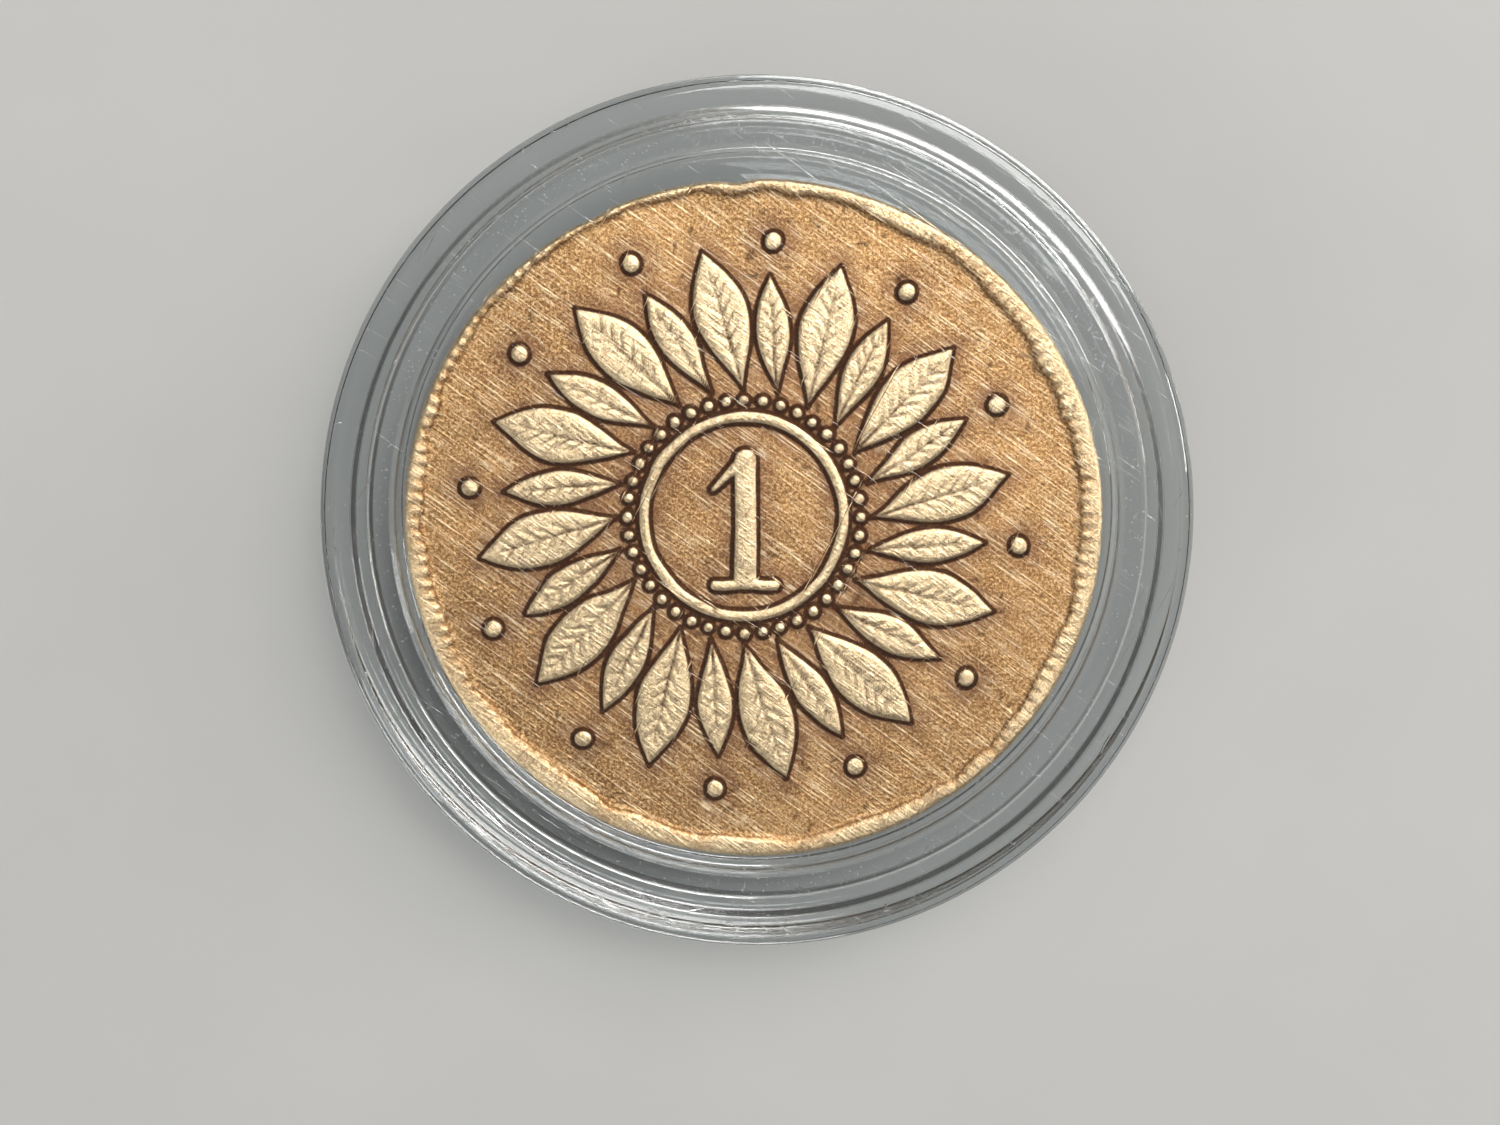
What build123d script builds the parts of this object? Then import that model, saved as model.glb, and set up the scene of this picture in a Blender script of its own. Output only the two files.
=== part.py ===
from build123d import *

import os

# A round snap-together coin capsule: two clear moulded shells that close around one copper coin.
#
# Millimetres. The origin is the centre of the capsule's rear face, +Z is the capsule's axis and points out of
# its front face, and +Y is up when the capsule is shown on its edge. Each shell and the coin is a solid of
# revolution, drawn as a half section with x as the radius and y as the height above the rear face.

# Driving dimensions
OUTER_RADIUS = 15.0  # rim of both shells
COIN_RADIUS = 12.3
COIN_THICKNESS = 1.3
POCKET_RADIUS = 12.6  # wall around the coin
POCKET_HEIGHT = 2.6  # between the two windows' inner faces
WINDOW_THICKNESS = 0.9
WINDOW_RECESS = 0.5  # each window sits this far behind its rim's face
COLLAR_WALL = 0.85  # ring of the rear shell that stands around the coin
COLLAR_CLEARANCE = 0.05  # radial running fit between the collar and the front shell's skirt
PARTING_HEIGHT = 2.4  # where the two rims meet

# Small features
RIM_ROUND = 0.5  # outer edge of each rim
RIM_FACE_INSET = 1.1  # width of the rim's flat face and its outer round together
RIM_STEP_SLOPE = 0.12  # how far the step from rim to window leans
STEP_ROUND = 0.08
FINGER_GROOVE = 0.2  # chamfer on both rims at the parting line, for a fingernail
LEAD_IN = 0.15  # chamfers on the collar's and skirt's mouths
COLLAR_GAP = 0.1  # between the collar's top and the front window
POCKET_CORNER_ROUND = 0.2
COIN_BORDER_WIDTH = 0.7
COIN_FIELD_DEPTH = 0.1  # the coin's fields lie this far below its borders
COIN_EDGE_ROUND = 0.2
COIN_OFFSET = (-0.1, -0.22)  # the loose coin lies against the low side of its pocket

# Worked out from the dimensions above
CAPSULE_HEIGHT = POCKET_HEIGHT + 2 * (WINDOW_THICKNESS + WINDOW_RECESS)
POCKET_FLOOR = WINDOW_RECESS + WINDOW_THICKNESS
POCKET_CEILING = POCKET_FLOOR + POCKET_HEIGHT
COLLAR_RADIUS = POCKET_RADIUS + COLLAR_WALL
COLLAR_TOP = POCKET_CEILING - COLLAR_GAP
SKIRT_BORE = COLLAR_RADIUS + COLLAR_CLEARANCE
STEP_RADIUS = OUTER_RADIUS - RIM_FACE_INSET


def section(corners, rounds):
    """A closed half section through the given corners. rounds lists (corner, radius) pairs to round off."""
    face = make_face(Polyline(*corners, close=True))
    for corner, radius in rounds:
        nearest = face.vertices().sort_by_distance((corner[0], corner[1], 0))[0]
        face = fillet(nearest, radius)
    return face


def turned(face):
    """The solid that a half section makes when it is turned about the capsule's axis."""
    return revolve(Plane.XZ * face, Axis.Z)


def rear_shell():
    """The half that holds the coin: a recessed window, a rim, and a collar that stands around the coin."""
    rim_edge = (OUTER_RADIUS, 0)
    rim_inner = (STEP_RADIUS, 0)
    step_foot = (STEP_RADIUS - RIM_STEP_SLOPE, WINDOW_RECESS)
    pocket_corner = (POCKET_RADIUS, POCKET_FLOOR)
    corners = [
        (0, WINDOW_RECESS),
        step_foot,
        rim_inner,
        rim_edge,
        (OUTER_RADIUS, PARTING_HEIGHT - FINGER_GROOVE),
        (OUTER_RADIUS - FINGER_GROOVE, PARTING_HEIGHT),
        (COLLAR_RADIUS, PARTING_HEIGHT),
        (COLLAR_RADIUS, COLLAR_TOP - LEAD_IN),
        (COLLAR_RADIUS - LEAD_IN, COLLAR_TOP),
        (POCKET_RADIUS + LEAD_IN, COLLAR_TOP),
        (POCKET_RADIUS, COLLAR_TOP - LEAD_IN),
        pocket_corner,
        (0, POCKET_FLOOR),
    ]
    rounds = [
        (rim_edge, RIM_ROUND),
        (rim_inner, STEP_ROUND),
        (step_foot, STEP_ROUND),
        (pocket_corner, POCKET_CORNER_ROUND),
    ]
    return turned(section(corners, rounds))


def front_shell():
    """The half that pulls off: a recessed window, a rim, and a skirt that slides over the collar."""
    rim_edge = (OUTER_RADIUS, CAPSULE_HEIGHT)
    rim_inner = (STEP_RADIUS, CAPSULE_HEIGHT)
    step_foot = (STEP_RADIUS - RIM_STEP_SLOPE, CAPSULE_HEIGHT - WINDOW_RECESS)
    corners = [
        (0, CAPSULE_HEIGHT - WINDOW_RECESS),
        step_foot,
        rim_inner,
        rim_edge,
        (OUTER_RADIUS, PARTING_HEIGHT + FINGER_GROOVE),
        (OUTER_RADIUS - FINGER_GROOVE, PARTING_HEIGHT),
        (SKIRT_BORE + LEAD_IN, PARTING_HEIGHT),
        (SKIRT_BORE, PARTING_HEIGHT + LEAD_IN),
        (SKIRT_BORE, POCKET_CEILING),
        (0, POCKET_CEILING),
    ]
    rounds = [(rim_edge, RIM_ROUND), (rim_inner, STEP_ROUND), (step_foot, STEP_ROUND)]
    return turned(section(corners, rounds))


def coin():
    """A struck copper disc whose plain fields lie a little below its borders. It rests on the rear window."""
    base = POCKET_FLOOR
    top = base + COIN_THICKNESS
    field_radius = COIN_RADIUS - COIN_BORDER_WIDTH
    low_edge = (COIN_RADIUS, base)
    high_edge = (COIN_RADIUS, top)
    corners = [
        (0, base + COIN_FIELD_DEPTH),
        (field_radius - COIN_FIELD_DEPTH, base + COIN_FIELD_DEPTH),
        (field_radius, base),
        low_edge,
        high_edge,
        (field_radius, top),
        (field_radius - COIN_FIELD_DEPTH, top - COIN_FIELD_DEPTH),
        (0, top - COIN_FIELD_DEPTH),
    ]
    disc = turned(section(corners, [(low_edge, COIN_EDGE_ROUND), (high_edge, COIN_EDGE_ROUND)]))
    return Pos(*COIN_OFFSET, 0) * disc


def main():
    os.makedirs("parts", exist_ok=True)
    pieces = {"rear_shell": rear_shell(), "coin": coin(), "front_shell": front_shell()}
    for name, piece in pieces.items():
        export_step(piece, f"parts/{name}.step")
        print(name, "volume", round(piece.volume, 1), "mm3")


main()
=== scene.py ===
"""The looks of the coin capsule: two clear shells around a worn, struck copper coin, a studio and a camera.

Blender works in metres. Shapes are drawn in millimetres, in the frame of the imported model, and scaled by MM.
"""

import math

import bpy
import numpy as np
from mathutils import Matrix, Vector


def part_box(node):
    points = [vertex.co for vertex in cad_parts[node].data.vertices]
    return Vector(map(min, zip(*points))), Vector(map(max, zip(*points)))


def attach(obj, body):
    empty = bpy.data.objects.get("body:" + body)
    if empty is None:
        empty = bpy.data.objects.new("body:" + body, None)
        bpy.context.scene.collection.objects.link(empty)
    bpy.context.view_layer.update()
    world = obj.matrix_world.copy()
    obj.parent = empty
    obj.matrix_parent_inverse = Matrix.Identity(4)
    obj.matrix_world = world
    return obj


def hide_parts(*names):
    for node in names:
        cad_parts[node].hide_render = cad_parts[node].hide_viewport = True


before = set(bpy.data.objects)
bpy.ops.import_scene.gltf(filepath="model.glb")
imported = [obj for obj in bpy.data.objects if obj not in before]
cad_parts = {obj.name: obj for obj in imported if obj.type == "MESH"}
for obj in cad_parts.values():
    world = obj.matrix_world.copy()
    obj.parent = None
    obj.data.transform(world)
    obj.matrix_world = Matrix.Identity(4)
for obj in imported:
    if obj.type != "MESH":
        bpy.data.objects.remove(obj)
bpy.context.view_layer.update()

MM = 0.001
QUARTER_TURN = math.pi / 2

# The capsule's shells. Their outer sizes come from the frame, and the rest repeats the section in the CAD.
REAR_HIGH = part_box("rear_shell")[1] / MM
FRONT_LOW, FRONT_HIGH = [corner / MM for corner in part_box("front_shell")]
RIM_RADIUS = min(REAR_HIGH.x, REAR_HIGH.y)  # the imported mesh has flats, and the shells stay inside them
PARTING_HEIGHT = FRONT_LOW.z
CAPSULE_HEIGHT = FRONT_HIGH.z
COLLAR_TOP = REAR_HIGH.z
WINDOW_RECESS = 0.5
WINDOW_THICKNESS = 0.9
POCKET_RADIUS = 12.6
COLLAR_RADIUS = 13.45
SKIRT_BORE = 13.5
RIM_ROUND = 0.5
STEP_RADIUS = RIM_RADIUS - 1.1
STEP_FOOT_RADIUS = STEP_RADIUS - 0.12
STEP_ROUND = 0.08
FINGER_GROOVE = 0.2
LEAD_IN = 0.15
CORNER_ROUND = 0.2
EDGE_BREAK = 0.03  # the small round that moulding leaves on an edge
AIR_FILM = 0.01  # between faces that touch, so that light sees two surfaces
SHELL_SEGMENTS = 384
DUST_RADIUS = COLLAR_RADIUS - 0.4  # dust gathers on the collar
SHARP_ANGLE = 20  # degrees that two faces may turn and still be shaded as one round

# The coin. Its place and outer sizes come from the frame.
COIN_LOW, COIN_HIGH = [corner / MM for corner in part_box("coin")]
COIN_CENTRE = (COIN_LOW + COIN_HIGH) / 2
COIN_RADIUS = (COIN_HIGH.x - COIN_LOW.x) / 2
COIN_ROUND = 0.18
FIELD_DEPTH = 0.13  # the fields lie this far below the highest relief
OBVERSE_CELLS = 264
REVERSE_CELLS = OBVERSE_CELLS // 2
MIDDLE = (0, 0)
DIE_SHIFT = -0.35  # the die was struck a little to the left
EDGE_WIDTH = 0.15  # how wide the slope at a relief's edge is
ROUND_STEPS = 7
EDGE_STEPS = 4
FACE_ROOM = 0.01  # keeps the unevenness of the faces inside the coin's thickness

# The camera
VIEW_TILT = 5.0  # degrees from the capsule's axis, towards +Y
VIEW_DISTANCE = 109.2
VIEW_LENS = 76.4
VIEW_TARGET = (-0.24, -1.62, CAPSULE_HEIGHT - 0.2)
CLIP_NEAR, CLIP_FAR = 0.01, 5.0  # metres

# The studio, in metres
FLOOR_RADIUS = 0.45
FLOOR_DROP = 2 * AIR_FILM * MM
BEND_RADIUS = 0.3
BEND_STEPS = 12
WALL_HEIGHT = 0.5
WORLD_STRENGTH = 0.27
CLEAR_BOUNCES = 32  # a ray crosses many faces inside the two shells
DIFFUSE_BOUNCES = 4


# ---------------------------------------------------------------- outlines and solids


def rounded_outline(corners):
    """The points of a closed outline. Each corner is (x, y, round), and its round is drawn as an arc."""
    points = []
    for index, (x, y, radius) in enumerate(corners):
        corner = np.array([x, y])
        if radius == 0:
            points.append(corner)
            continue
        before = np.array(corners[index - 1][:2]) - corner
        after = np.array(corners[(index + 1) % len(corners)][:2]) - corner
        before = before / np.linalg.norm(before)
        after = after / np.linalg.norm(after)
        half = math.acos(np.clip(before @ after, -1, 1)) / 2
        middle = (before + after) / np.linalg.norm(before + after)
        centre = corner + middle * radius / math.sin(half)
        first = corner + before * radius / math.tan(half) - centre
        last = corner + after * radius / math.tan(half) - centre
        sweep = math.atan2(first[0] * last[1] - first[1] * last[0], first @ last)
        for step in range(ROUND_STEPS + 1):
            turn = sweep * step / ROUND_STEPS
            cos, sin = math.cos(turn), math.sin(turn)
            points.append(centre + [first[0] * cos - first[1] * sin, first[0] * sin + first[1] * cos])
    return np.array(points)


def make_piece(name, points, faces, material, body, node):
    """A mesh object from points in millimetres, which stands for one CAD node and rides on its body."""
    mesh = bpy.data.meshes.new(name)
    mesh.from_pydata((np.asarray(points) * MM).tolist(), [], faces)
    mesh.polygons.foreach_set("use_smooth", [True] * len(mesh.polygons))
    mesh.materials.append(material)
    mesh.update()
    piece = bpy.data.objects.new(name, mesh)
    bpy.context.scene.collection.objects.link(piece)
    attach(piece, body)
    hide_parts(node)
    return piece


def lathe(section):
    """A half section turned about the Z axis. Its (radius, height) points run anticlockwise."""
    angles = np.arange(SHELL_SEGMENTS) * 2 * math.pi / SHELL_SEGMENTS
    points, rings, faces = [], [], []
    for radius, height in section:
        start = len(points)
        if radius == 0:
            points.append((0, 0, height))
            rings.append([start] * SHELL_SEGMENTS)
        else:
            points.extend((radius * math.cos(a), radius * math.sin(a), height) for a in angles)
            rings.append(list(range(start, start + SHELL_SEGMENTS)))
    for inner, outer in zip(rings, rings[1:]):
        for k in range(SHELL_SEGMENTS):
            after = (k + 1) % SHELL_SEGMENTS
            loop = [inner[k], inner[after], outer[after], outer[k]]
            face = [v for i, v in enumerate(loop) if v != loop[i - 1]]
            faces.append(face)
    return points, faces


# ---------------------------------------------------------------- shells


def rear_section():
    """The rear shell's half section, from the middle of its outer face round to the middle of its pocket."""
    floor = WINDOW_RECESS + WINDOW_THICKNESS
    corners = [
        (0, WINDOW_RECESS, 0),
        (STEP_FOOT_RADIUS, WINDOW_RECESS, STEP_ROUND),
        (STEP_RADIUS, 0, STEP_ROUND),
        (RIM_RADIUS, 0, RIM_ROUND),
        (RIM_RADIUS, PARTING_HEIGHT - FINGER_GROOVE, EDGE_BREAK),
        (RIM_RADIUS - FINGER_GROOVE, PARTING_HEIGHT - AIR_FILM, EDGE_BREAK),
        (COLLAR_RADIUS, PARTING_HEIGHT - AIR_FILM, 0),
        (COLLAR_RADIUS, COLLAR_TOP - LEAD_IN, EDGE_BREAK),
        (COLLAR_RADIUS - LEAD_IN, COLLAR_TOP, EDGE_BREAK),
        (POCKET_RADIUS + LEAD_IN, COLLAR_TOP, EDGE_BREAK),
        (POCKET_RADIUS, COLLAR_TOP - LEAD_IN, EDGE_BREAK),
        (POCKET_RADIUS, floor, CORNER_ROUND),
        (0, floor, 0),
    ]
    return rounded_outline(corners)


def front_section():
    """The front shell's half section, from the middle of its inner face round to that of its outer face."""
    window = CAPSULE_HEIGHT - WINDOW_RECESS
    corners = [
        (0, window - WINDOW_THICKNESS, 0),
        (SKIRT_BORE, window - WINDOW_THICKNESS, 0),
        (SKIRT_BORE, PARTING_HEIGHT + LEAD_IN, EDGE_BREAK),
        (SKIRT_BORE + LEAD_IN, PARTING_HEIGHT, EDGE_BREAK),
        (RIM_RADIUS - FINGER_GROOVE, PARTING_HEIGHT, EDGE_BREAK),
        (RIM_RADIUS, PARTING_HEIGHT + FINGER_GROOVE, EDGE_BREAK),
        (RIM_RADIUS, CAPSULE_HEIGHT, RIM_ROUND),
        (STEP_RADIUS, CAPSULE_HEIGHT, STEP_ROUND),
        (STEP_FOOT_RADIUS, window, STEP_ROUND),
        (0, window, 0),
    ]
    return rounded_outline(corners)


def make_shell(name, section, material):
    """One clear moulding, with its flat faces kept crisp against its corners."""
    points, faces = lathe(section)
    shell = make_piece(name + "_clear", points, faces, material, name, name)
    shell.data.set_sharp_from_angle(angle=math.radians(SHARP_ANGLE))


# ---------------------------------------------------------------- drawing in relief


def tapered_line(x, y, start, end, start_radius, end_radius):
    """Signed distance to a thick line between two points, whose radius tapers. It is negative inside."""
    run_x, run_y = end[0] - start[0], end[1] - start[1]
    along = ((x - start[0]) * run_x + (y - start[1]) * run_y) / (run_x**2 + run_y**2)
    along = np.clip(along, 0, 1)
    gap = np.hypot(x - start[0] - along * run_x, y - start[1] - along * run_y)
    return gap - start_radius - along * (end_radius - start_radius)


def disc(x, y, centre, radius):
    return np.hypot(x - centre[0], y - centre[1]) - radius


def polygon(x, y, corners):
    """Signed distance to a closed outline."""
    nearest = np.full(x.shape, np.inf)
    inside = np.zeros(x.shape, bool)
    for (ax, ay), (bx, by) in zip(corners, np.roll(corners, -1, axis=0)):
        run_x, run_y = bx - ax, by - ay
        along = np.clip(((x - ax) * run_x + (y - ay) * run_y) / (run_x**2 + run_y**2 + 1e-12), 0, 1)
        nearest = np.minimum(nearest, np.hypot(x - ax - along * run_x, y - ay - along * run_y))
        if run_y != 0:
            crosses = (ay > y) != (by > y)
            inside ^= crosses & (x < run_x * (y - ay) / run_y + ax)
    return np.where(inside, -nearest, nearest)


def union(*shapes):
    return np.minimum.reduce(shapes)


def cut(shape, *holes):
    """The shape without the holes."""
    return np.maximum.reduce([shape, *[-hole for hole in holes]])


def ring(shape, half_width):
    """A line along a shape's edge."""
    return np.abs(shape) - half_width


def raised(distance, width=EDGE_WIDTH):
    """0 outside a shape and 1 inside it, with a smooth slope of the given width at its edge."""
    step = np.clip(0.5 - distance / width, 0, 1)
    return step * step * (3 - 2 * step)


def polar(centre, distance, degrees):
    """The point at a distance and angle from a centre."""
    angle = math.radians(degrees)
    return centre[0] + distance * math.cos(angle), centre[1] + distance * math.sin(angle)


# ---------------------------------------------------------------- the coin's front: a ring of leaves

MEDALLION_RADIUS = 3.3
MEDALLION_FRAME = 0.4
BEAD_RING = MEDALLION_RADIUS + MEDALLION_FRAME + 0.4
BEAD_COUNT = 40
BEAD_RADIUS = 0.2
LEAF_COUNT = 12
LEAF_PITCH = 360 / LEAF_COUNT
LEAF_ROOT = BEAD_RING + 0.4
LEAF_LEAN = 9  # degrees that each leaf leans round the ring
LONG_LEAF = (9.4, 0.95)  # how far out its tip lies, and half its width
SHORT_LEAF = (8.5, 0.62)
DOT_RING = 9.7
DOT_RADIUS = 0.32
VEIN_ANGLE = 42
VEIN_PITCH = 0.5
OUTLINE = 0.035  # half the width of the line round a leaf


def leaf(x, y, root, tip, width):
    """Signed distance, near enough, to a leaf that is pointed at both ends."""
    run_x, run_y = tip[0] - root[0], tip[1] - root[1]
    along = np.clip(((x - root[0]) * run_x + (y - root[1]) * run_y) / (run_x**2 + run_y**2), 0, 1)
    gap = np.hypot(x - root[0] - along * run_x, y - root[1] - along * run_y)
    return gap - width * np.sin(math.pi * along**1.15)


def veins(x, y, root, tip, width):
    """A leaf's midrib and its side veins."""
    run = np.array(tip) - root
    heading = math.degrees(math.atan2(run[1], run[0]))
    lines = [tapered_line(x, y, root, root + 0.85 * run, 0.06, 0.02)]
    for share in np.arange(0.25, 0.8, VEIN_PITCH / np.linalg.norm(run)):
        start = root + share * run
        reach = 0.75 * width * math.sin(math.pi * share**1.15)
        for side in (-1, 1):
            end = polar(start, reach, heading + VEIN_ANGLE * side)
            lines.append(tapered_line(x, y, start, end, 0.035, 0.015))
    return union(*lines)


def spray(x, y, leaves):
    """Leaves that overlap, each on top of those before it: their common shape, and the lines cut into it."""
    shape = np.full(x.shape, np.inf)
    lines = shape
    for root, tip, width in leaves:
        blade = leaf(x, y, root, tip, width)
        lines = union(cut(lines, blade), ring(blade, OUTLINE), veins(x, y, root, tip, width))
        shape = union(shape, blade)
    return shape, lines


def leaf_ring(first, reach, width):
    """Leaves all the way round the coin, evenly spaced, from the beads out to the reach."""
    headings = [first + LEAF_PITCH * k for k in range(LEAF_COUNT)]
    return [(polar(MIDDLE, LEAF_ROOT, a), polar(MIDDLE, reach, a + LEAF_LEAN), width) for a in headings]


def dots(x, y, distance, count, first, radius):
    """Round dots, evenly spaced on a circle."""
    spots = [polar(MIDDLE, distance, first + 360 / count * k) for k in range(count)]
    return union(*[disc(x, y, spot, radius) for spot in spots])


def numeral(x, y):
    """A plain figure one, with a flag and a flat foot."""
    return union(
        tapered_line(x, y, (0.05, 2.0), (0.05, -2.2), 0.4, 0.42),
        tapered_line(x, y, (0.1, 2.1), (-1.1, 0.95), 0.26, 0.1),
        tapered_line(x, y, (-1.0, -2.4), (1.1, -2.4), 0.2, 0.2),
    )


def obverse(x, y):
    """Distance to the front's relief, and distance to the lines cut into it."""
    across = x - DIE_SHIFT
    leaves = leaf_ring(LEAF_PITCH / 2, *SHORT_LEAF) + leaf_ring(0, *LONG_LEAF)
    foliage, lines = spray(across, y, leaves)
    half_frame = MEDALLION_FRAME / 2
    medallion = ring(disc(across, y, MIDDLE, MEDALLION_RADIUS + half_frame), half_frame)
    beads = dots(across, y, BEAD_RING, BEAD_COUNT, 0, BEAD_RADIUS)
    outer_dots = dots(across, y, DOT_RING, LEAF_COUNT, LEAF_PITCH / 2 + LEAF_LEAN, DOT_RADIUS)
    return union(foliage, medallion, beads, outer_dots, numeral(across, y)), lines


# ---------------------------------------------------------------- the coin's back: a plain wreath and star

WREATH_RADIUS = 8.3
WREATH_PAIRS = 11
WREATH_START = -80
WREATH_PITCH = 15
WREATH_LEAF = 2.3
WREATH_LEAF_WIDTH = 0.42  # half of it
WREATH_SPREAD = 34  # degrees between a leaf and the stem
STEM_WIDTH = 0.12  # half of it
STEM_TOP = 8.0
STAR_POINTS = 5
STAR_REACH = 3.6
STAR_HOLLOW = 1.45
STAR_RAY = 3.2


def reverse(x, y):
    """Distance to the back's relief: a laurel wreath round a plain star."""
    u = np.abs(x)
    leaves = []
    for index in range(WREATH_PAIRS):
        heading = WREATH_START + WREATH_PITCH * index
        root = polar(MIDDLE, WREATH_RADIUS, heading)
        for side in (-1, 1):
            tip = polar(root, WREATH_LEAF, heading + 90 - WREATH_SPREAD * side)
            leaves.append((root, tip, WREATH_LEAF_WIDTH))
    wreath, lines = spray(u, y, leaves)
    stem = np.maximum(ring(disc(u, y, MIDDLE, WREATH_RADIUS), STEM_WIDTH), y - STEM_TOP)
    step = 180 / STAR_POINTS
    reaches = [STAR_REACH, STAR_HOLLOW] * STAR_POINTS
    star = [polar(MIDDLE, reach, 90 + step * k) for k, reach in enumerate(reaches)]
    ray_ends = [polar(MIDDLE, STAR_RAY, 90 + 2 * step * k) for k in range(STAR_POINTS)]
    rays = [tapered_line(x, y, MIDDLE, end, 0.06, 0.02) for end in ray_ends]
    return union(stem, polygon(x, y, np.array(star)), wreath), union(lines, *rays)


# ---------------------------------------------------------------- the struck coin

BORDER_TEETH = 170
LINE_WOBBLE = 0.04  # how far the worn lines wander
FAR = 2.0  # distances to the relief are kept up to this
COIN_LOOKS = ["relief", "groove", "rim", "pits"]
EDGE_LOOKS = [FAR, FAR, 1.0, 0.0]
BORDER_NICKS = [(93, 0.13, 2.5), (118, 0.06, 3.0), (228, 0.07, 1.5), (303, 0.05, 2.0), (12, 0.04, 2.0)]


def coin_outline(angle):
    """The coin's radius at an angle. It is flatter at the top, uneven all round, and nicked in places."""
    radius = COIN_RADIUS - (0.34 + 0.13 * np.sin(angle)) * np.sin(angle) ** 2
    radius = radius - 0.015 * (1 + np.sin(3 * angle + 0.8)) - 0.01 * (1 + np.sin(11 * angle + 2.0))
    for degrees, depth, width in BORDER_NICKS:
        away = (np.degrees(angle) - degrees + 180) % 360 - 180
        radius = radius - depth * np.exp(-((away / width) ** 2))
    return radius


def smooth_noise(x, y, pitch, generator):
    """Soft random values from -1 to 1, on a square lattice with the given pitch in millimetres."""
    cells = int(2 * COIN_RADIUS / pitch) + 3
    lattice = generator.uniform(-1, 1, (cells, cells))
    column, row = (x + COIN_RADIUS) / pitch, (y + COIN_RADIUS) / pitch
    left, low = np.floor(column).astype(int), np.floor(row).astype(int)
    part_x, part_y = column - left, row - low
    part_x, part_y = part_x**2 * (3 - 2 * part_x), part_y**2 * (3 - 2 * part_y)
    low_row = lattice[left, low] * (1 - part_x) + lattice[left + 1, low] * part_x
    high_row = lattice[left, low + 1] * (1 - part_x) + lattice[left + 1, low + 1] * part_x
    return low_row * (1 - part_y) + high_row * part_y


def border(x, y, lumps):
    """How far the raised border stands, from 0 to 1, with worn teeth at both sides and uneven lumps."""
    angle = np.arctan2(y, x)
    depth = coin_outline(angle) - np.hypot(x, y)
    width = 0.6 + 0.16 * np.sin(2 * angle + 0.6) + 0.12 * np.cos(angle + 0.9) + 0.12 * lumps
    bank = raised(depth - width, 0.3)
    toothed = np.exp(-(((depth - width) / 0.3) ** 2)) * np.abs(np.cos(angle)) ** 1.5
    teeth = 0.5 + 0.5 * np.cos(BORDER_TEETH * angle)
    return np.clip(bank * (0.85 + 0.15 * lumps) * (1 - 0.5 * teeth * toothed), 0, 1)


def struck_face(x, y, design, generator):
    """One side's heights over the field, and its looks: the values that COIN_LOOKS names."""
    lumps, wobble = (smooth_noise(x, y, 0.8, generator) for _ in range(2))
    shape, lines = design(x + LINE_WOBBLE * lumps, y + LINE_WOBBLE * wobble)
    plateau = raised(shape)
    domed = 0.8 + 0.2 * np.clip(-shape / 0.3, 0, 1)
    cuts = raised(lines, 0.11) * plateau
    rim = border(x, y, lumps)
    pits = np.clip(smooth_noise(x, y, 0.28, generator) - 0.72, 0, 1) * 3
    height = FIELD_DEPTH * np.maximum(plateau * domed * 0.95, rim) - 0.05 * cuts - 0.012 * pits
    height = height + 0.005 * smooth_noise(x, y, 1.7, generator) + 0.003 * smooth_noise(x, y, 0.35, generator)
    return height, np.clip(shape, -FAR, FAR), np.clip(lines, -FAR, FAR), rim, pits


def disc_grid(cells):
    """A square grid spread evenly over the unit disc: x and y, the order of its rim, and its faces."""
    side = np.linspace(-1, 1, cells + 1)
    a, b = np.meshgrid(side, side, indexing="ij")
    wide = np.abs(a) >= np.abs(b)
    reach = np.where(wide, a, b)
    share = np.where(wide, b, a) / np.where(reach == 0, 1, reach)
    angle = np.where(wide, share * math.pi / 4, math.pi / 2 - share * math.pi / 4)
    index = np.arange((cells + 1) ** 2).reshape(cells + 1, cells + 1)
    rim = np.concatenate([index[-1, :-1], index[:0:-1, -1], index[0, :0:-1], index[:-1, 0]])
    faces = np.stack([index[:-1, :-1], index[1:, :-1], index[1:, 1:], index[:-1, 1:]], axis=-1)
    return (reach * np.cos(angle)).ravel(), (reach * np.sin(angle)).ravel(), rim, faces.reshape(-1, 4)


def coin_side(cells, design, generator):
    """One side of the coin as a grid: its points, its looks, the order of its rim, and its faces."""
    unit_x, unit_y, rim, faces = disc_grid(cells)
    reach = coin_outline(np.arctan2(unit_y, unit_x)) - COIN_ROUND
    x, y = unit_x * reach, unit_y * reach
    height, *looks = struck_face(x, y, design, generator)
    return np.stack([x, y, height], axis=1), np.stack(looks, axis=1), rim, faces


def edge_rings(upper_rim, low):
    """Rings of points down the coin's edge, from just outside its upper rim to just above its lower rim."""
    angle = np.arctan2(upper_rim[:, 1], upper_rim[:, 0])
    radius = coin_outline(angle)
    turns = [QUARTER_TURN * step / EDGE_STEPS for step in range(EDGE_STEPS + 1)]
    sections = []
    for turn in turns[1:]:
        height = upper_rim[:, 2] - COIN_ROUND * (1 - math.cos(turn))
        sections.append((COIN_ROUND * (1 - math.sin(turn)), height))
    for turn in turns[:-1]:
        height = low + COIN_ROUND * (1 - math.sin(turn))
        sections.append((COIN_ROUND * (1 - math.cos(turn)), np.full(len(angle), height)))
    rings = []
    for inset, height in sections:
        reach = radius - inset
        rings.append(np.stack([reach * np.cos(angle), reach * np.sin(angle), height], axis=1))
    return rings


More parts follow.
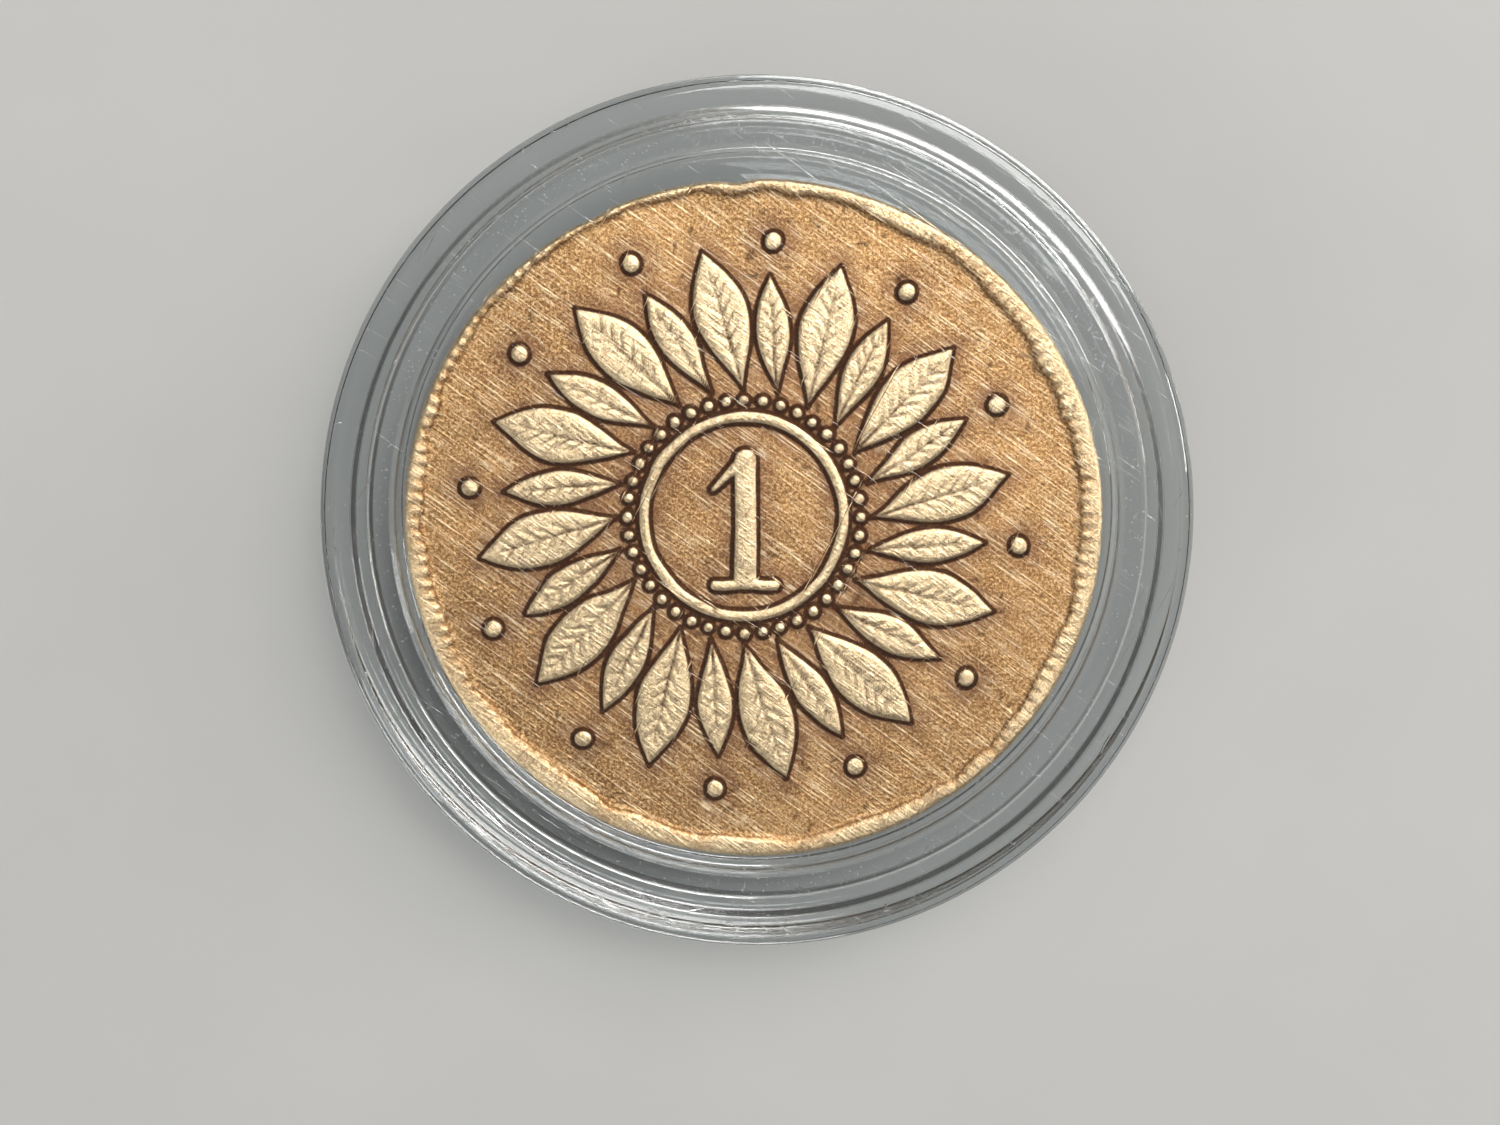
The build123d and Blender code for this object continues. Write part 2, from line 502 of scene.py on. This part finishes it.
def wall_faces(upper_rim, ring_count, first, under):
    """The faces of the coin's edge, from the front's rim down to the back's, which has half its points."""
    count = len(upper_rim)
    faces = []
    above = upper_rim
    for level in range(ring_count):
        below = list(range(first + level * count, first + (level + 1) * count))
        for k in range(count):
            after = (k + 1) % count
            faces.append([above[k], below[k], below[after], above[after]])
        above = below
    for k in range(len(under)):
        after = (2 * k + 2) % count
        next_under = under[(k + 1) % len(under)]
        faces.append([above[2 * k], under[k], next_under, above[after], above[2 * k + 1]])
    return faces


def make_coin(material):
    """The struck coin. Its back has half as many cells each way as its front."""
    generator = np.random.default_rng(1)
    front, front_looks, front_rim, front_faces = coin_side(OBVERSE_CELLS, obverse, generator)
    back, back_looks, back_rim, back_faces = coin_side(REVERSE_CELLS, reverse, generator)
    front[:, 2] += COIN_HIGH.z - FIELD_DEPTH - FACE_ROOM
    back[:, 2] = COIN_LOW.z + FIELD_DEPTH + FACE_ROOM - back[:, 2]
    rings = edge_rings(front[front_rim], COIN_LOW.z + FACE_ROOM)
    first_back = len(front) + len(rings) * len(front_rim)
    points = np.concatenate([front, *rings, back]) + [COIN_CENTRE.x, COIN_CENTRE.y, 0]
    edge_looks = np.tile(EDGE_LOOKS, (first_back - len(front), 1))
    looks = np.concatenate([front_looks, edge_looks, back_looks])
    wall = wall_faces(front_rim.tolist(), len(rings), len(front), (back_rim + first_back).tolist())
    faces = front_faces.tolist() + wall + (back_faces[:, ::-1] + first_back).tolist()
    coin = make_piece("struck_coin", points, faces, material, "coin", "coin")
    for name, values in zip(COIN_LOOKS, looks.T):
        attribute = coin.data.attributes.new(name, "FLOAT", "POINT")
        attribute.data.foreach_set("value", values.astype(np.float32))


# ---------------------------------------------------------------- materials


class Nodes:
    """A short way to write a material's nodes."""

    def __init__(self, name):
        self.material = bpy.data.materials.new(name)
        self.material.use_nodes = True
        self.tree = self.material.node_tree
        self.tree.nodes.clear()

    def add(self, kind, inputs=None, **settings):
        """A node, with its settings, and its inputs set to a value or linked to another node's output."""
        node = self.tree.nodes.new(kind)
        for key, value in settings.items():
            setattr(node, key, value)
        for key, value in (inputs or {}).items():
            if isinstance(value, bpy.types.NodeSocket):
                self.tree.links.new(value, node.inputs[key])
            else:
                node.inputs[key].default_value = value
        return node

    def math(self, operation, first, second=0.0, clamp=False):
        node = self.add("ShaderNodeMath", {0: first, 1: second}, operation=operation, use_clamp=clamp)
        return node.outputs[0]

    def attribute(self, name):
        return self.add("ShaderNodeAttribute", attribute_name=name).outputs["Fac"]

    def noise(self, where, scale, detail=4.0, roughness=0.6):
        inputs = {"Vector": where, "Scale": scale, "Detail": detail, "Roughness": roughness}
        return self.add("ShaderNodeTexNoise", inputs).outputs["Fac"]

    def streaks(self, where, scale, length, degrees):
        """Noise drawn out to so many times its width, at an angle about Z, for marks that run one way."""
        inputs = {"Vector": where, "Rotation": (0, 0, math.radians(degrees)), "Scale": (length, 1, 1)}
        drawn_out = self.add("ShaderNodeMapping", inputs, vector_type="TEXTURE").outputs["Vector"]
        return self.noise(drawn_out, scale, 2.0)

    def ramp(self, value, low, high, low_value=0.0, high_value=1.0):
        inputs = {"Value": value, "From Min": low, "From Max": high}
        inputs.update({"To Min": low_value, "To Max": high_value})
        return self.add("ShaderNodeMapRange", inputs).outputs["Result"]

    def mix(self, share, first, second):
        """A colour between two, by a share."""
        inputs = {0: share, 6: first, 7: second}  # the sockets that mix colours
        return self.add("ShaderNodeMix", inputs, data_type="RGBA").outputs[2]

    def bump(self, height, strength, distance, normal=None):
        inputs = {"Height": height, "Strength": strength, "Distance": distance}
        if normal is not None:
            inputs["Normal"] = normal
        return self.add("ShaderNodeBump", inputs).outputs["Normal"]

    def finish(self, shader):
        self.add("ShaderNodeOutputMaterial", {"Surface": shader})
        return self.material


def clear_plastic():
    """Water-clear polystyrene with fine handling scratches, and specks of dust where the two halves meet."""
    nodes = Nodes("clear_plastic")
    where = nodes.add("ShaderNodeTexCoord").outputs["Object"]
    scratches = nodes.streaks(where, 6000.0, 22.0, -35)
    crossing = nodes.streaks(where, 5000.0, 26.0, 62)
    marks = nodes.math("MAXIMUM", nodes.ramp(scratches, 0.66, 0.74), nodes.ramp(crossing, 0.67, 0.75))
    flat = nodes.add("ShaderNodeVectorMath", {0: where, 1: (1, 1, 0)}, operation="MULTIPLY").outputs["Vector"]
    radius = nodes.add("ShaderNodeVectorMath", {0: flat}, operation="LENGTH").outputs["Value"]
    from_joint = nodes.math("ABSOLUTE", nodes.math("SUBTRACT", radius, DUST_RADIUS * MM))
    near_joint = nodes.ramp(from_joint, 0.2 * MM, 0.5 * MM, 1.0, 0.0)
    dust = nodes.math("MULTIPLY", nodes.ramp(nodes.noise(where, 7000.0, 1.0), 0.70, 0.76), near_joint)
    roughness = nodes.math("ADD", nodes.ramp(marks, 0, 1, 0.004, 0.09), nodes.math("MULTIPLY", dust, 0.5))
    normal = nodes.bump(nodes.math("ADD", marks, dust), 0.25, 0.00002)
    plastic = nodes.add(
        "ShaderNodeBsdfPrincipled",
        {
            "Base Color": (0.945, 0.958, 0.965, 1),
            "Transmission Weight": 1.0,
            "IOR": 1.57,
            "Roughness": roughness,
            "Normal": normal,
        },
    )
    see_through = nodes.add("ShaderNodeBsdfTransparent", {"Color": (0.88, 0.89, 0.89, 1)})
    from_lamp = nodes.add("ShaderNodeLightPath").outputs["Is Shadow Ray"]
    inputs = {0: from_lamp, 1: plastic.outputs[0], 2: see_through.outputs[0]}
    return nodes.finish(nodes.add("ShaderNodeMixShader", inputs).outputs[0])


def struck_copper():
    """Worn copper: brown grainy fields, brighter smooth relief, dark patina at every edge, and hairlines."""
    nodes = Nodes("struck_copper")
    where = nodes.add("ShaderNodeTexCoord").outputs["Object"]
    relief, groove, rim, pits = [nodes.attribute(name) for name in COIN_LOOKS]
    clouds = nodes.ramp(nodes.noise(where, 260.0, 5.0), 0.35, 0.65)
    patches = nodes.ramp(nodes.noise(where, 900.0, 3.0), 0.35, 0.6, 0.55, 1.0)
    grain = nodes.noise(where, 9000.0, 3.0, 0.75)
    hairs = nodes.ramp(nodes.streaks(where, 13000.0, 24.0, -36), 0.50, 0.70)
    crossing = nodes.ramp(nodes.streaks(where, 9000.0, 40.0, 48), 0.60, 0.70)
    hair_patches = nodes.ramp(nodes.noise(where, 1600.0, 2.0), 0.38, 0.62, 0.05, 0.45)

    outline = nodes.math("ABSOLUTE", nodes.math("SUBTRACT", relief, 0.045))
    outline = nodes.ramp(outline, 0.06, 0.11, 1.0, 0.0)
    plateau = nodes.ramp(relief, -0.06, 0.03, 1.0, 0.0)
    cuts = nodes.math("MULTIPLY", nodes.ramp(groove, -0.03, 0.045, 1.0, 0.0), plateau)
    bank = nodes.math("ABSOLUTE", nodes.math("SUBTRACT", rim, 0.3))
    bank = nodes.math("MULTIPLY", nodes.ramp(bank, 0.0, 0.28, 0.75, 0.0), patches)
    dark = nodes.math("MAXIMUM", outline, nodes.math("MULTIPLY", cuts, patches))
    dark = nodes.math("MAXIMUM", dark, nodes.math("MAXIMUM", bank, pits), True)
    dark = nodes.math("MULTIPLY", dark, nodes.ramp(grain, 0.35, 0.75, 1.0, 0.85))
    haze = nodes.math("MULTIPLY", nodes.ramp(relief, 0.0, 0.9, 0.85, 0.0), patches)
    worn = nodes.math("MAXIMUM", plateau, nodes.ramp(rim, 0.5, 1.0))

    field = nodes.mix(clouds, (0.185, 0.085, 0.026, 1), (0.30, 0.15, 0.052, 1))
    field = nodes.mix(nodes.ramp(grain, 0.45, 0.72), field, (0.72, 0.47, 0.23, 1))
    field = nodes.mix(haze, field, (0.125, 0.052, 0.030, 1))
    raised_metal = nodes.mix(nodes.ramp(grain, 0.3, 0.7), (0.44, 0.28, 0.13, 1), (0.88, 0.71, 0.47, 1))
    metal = nodes.mix(worn, field, raised_metal)
    metal = nodes.mix(nodes.math("MULTIPLY", hairs, hair_patches), metal, (1.0, 0.84, 0.58, 1))
    metal = nodes.mix(nodes.math("MULTIPLY", crossing, 0.30), metal, (0.36, 0.17, 0.07, 1))
    colour = nodes.mix(dark, metal, (0.045, 0.012, 0.001, 1))
    rough = nodes.math("ADD", nodes.ramp(worn, 0, 1, 0.42, 0.33), nodes.math("MULTIPLY", dark, 0.3))
    normal = nodes.bump(grain, 0.7, 0.00004)
    normal = nodes.bump(nodes.math("ADD", hairs, crossing), 0.4, 0.00002, normal)
    copper = nodes.add(
        "ShaderNodeBsdfPrincipled",
        {
            "Base Color": colour,
            "Metallic": 1.0,
            "Roughness": rough,
            "Normal": normal,
        },
    )
    return nodes.finish(copper.outputs[0])


def studio_floor():
    """A pale matt surface with a very faint mottle."""
    nodes = Nodes("studio_floor")
    where = nodes.add("ShaderNodeTexCoord").outputs["Object"]
    mottle = nodes.ramp(nodes.noise(where, 40.0), 0.3, 0.7)
    colour = nodes.mix(mottle, (0.51, 0.51, 0.50, 1), (0.55, 0.55, 0.54, 1))
    matt = nodes.add("ShaderNodeBsdfPrincipled", {"Base Color": colour, "Roughness": 0.85})
    return nodes.finish(matt.outputs[0])


# ---------------------------------------------------------------- studio


def make_backdrop(material):
    """A round floor that curves up into a wall, so that every side view has a plain background."""
    section = [(0, 0), (FLOOR_RADIUS, 0)]
    for step in range(1, BEND_STEPS + 1):
        turn = QUARTER_TURN * step / BEND_STEPS
        section.append((FLOOR_RADIUS + BEND_RADIUS * math.sin(turn), BEND_RADIUS * (1 - math.cos(turn))))
    section.append((FLOOR_RADIUS + BEND_RADIUS, BEND_RADIUS + WALL_HEIGHT))
    points, faces = lathe(np.array(section) - [0, FLOOR_DROP])
    mesh = bpy.data.meshes.new("backdrop")
    mesh.from_pydata(points, [], [face[::-1] for face in faces])
    mesh.polygons.foreach_set("use_smooth", [True] * len(mesh.polygons))
    mesh.materials.append(material)
    backdrop = bpy.data.objects.new("backdrop", mesh)
    bpy.context.scene.collection.objects.link(backdrop)


def add_light(name, place, size, power, colour):
    """A square soft light that faces the capsule."""
    lamp = bpy.data.lights.new(name, "AREA")
    lamp.size = size
    lamp.energy = power
    lamp.color = colour
    holder = bpy.data.objects.new(name, lamp)
    holder.location = place
    holder.rotation_euler = holder.location.to_track_quat("Z", "Y").to_euler()
    bpy.context.scene.collection.objects.link(holder)


def make_lights():
    """Soft light from the upper right, weaker ones from the lower left and the right, and a grey world."""
    add_light("key", (0.13, 0.20, 0.40), 0.28, 2.15, (1.0, 0.985, 0.96))
    add_light("fill", (-0.30, -0.22, 0.20), 0.12, 0.30, (0.97, 0.985, 1.0))
    add_light("edge", (0.34, 0.05, 0.12), 0.08, 0.30, (1.0, 0.97, 0.92))
    world = bpy.data.worlds.new("studio")
    world.use_nodes = True
    background = world.node_tree.nodes["Background"]
    background.inputs["Color"].default_value = (0.5, 0.5, 0.5, 1)
    background.inputs["Strength"].default_value = WORLD_STRENGTH
    bpy.context.scene.world = world


def make_camera():
    """The camera, nearly square on to the front face."""
    data = bpy.data.cameras.new("camera")
    data.lens = VIEW_LENS
    data.clip_start = CLIP_NEAR
    data.clip_end = CLIP_FAR
    camera = bpy.data.objects.new("camera", data)
    tilt = math.radians(VIEW_TILT)
    away = np.array([0, math.sin(tilt), math.cos(tilt)])
    camera.location = (VIEW_TARGET + VIEW_DISTANCE * away) * MM
    camera.rotation_euler = (-tilt, 0, 0)
    bpy.context.scene.collection.objects.link(camera)
    bpy.context.scene.camera = camera


def set_light_paths():
    """Enough bounces for both shells, and plain sRGB colour.

    Caustics are off because the plastic already lets the lamps' light straight through.
    """
    cycles = bpy.context.scene.cycles
    cycles.max_bounces = CLEAR_BOUNCES
    cycles.transmission_bounces = CLEAR_BOUNCES
    cycles.transparent_max_bounces = CLEAR_BOUNCES
    cycles.glossy_bounces = CLEAR_BOUNCES
    cycles.diffuse_bounces = DIFFUSE_BOUNCES
    cycles.caustics_refractive = False
    cycles.caustics_reflective = False
    cycles.use_denoising = True
    bpy.context.scene.view_settings.view_transform = "Standard"


def main():
    make_camera()
    make_backdrop(studio_floor())
    make_lights()
    plastic = clear_plastic()
    make_shell("rear_shell", rear_section(), plastic)
    make_shell("front_shell", front_section(), plastic)
    make_coin(struck_copper())
    set_light_paths()


main()
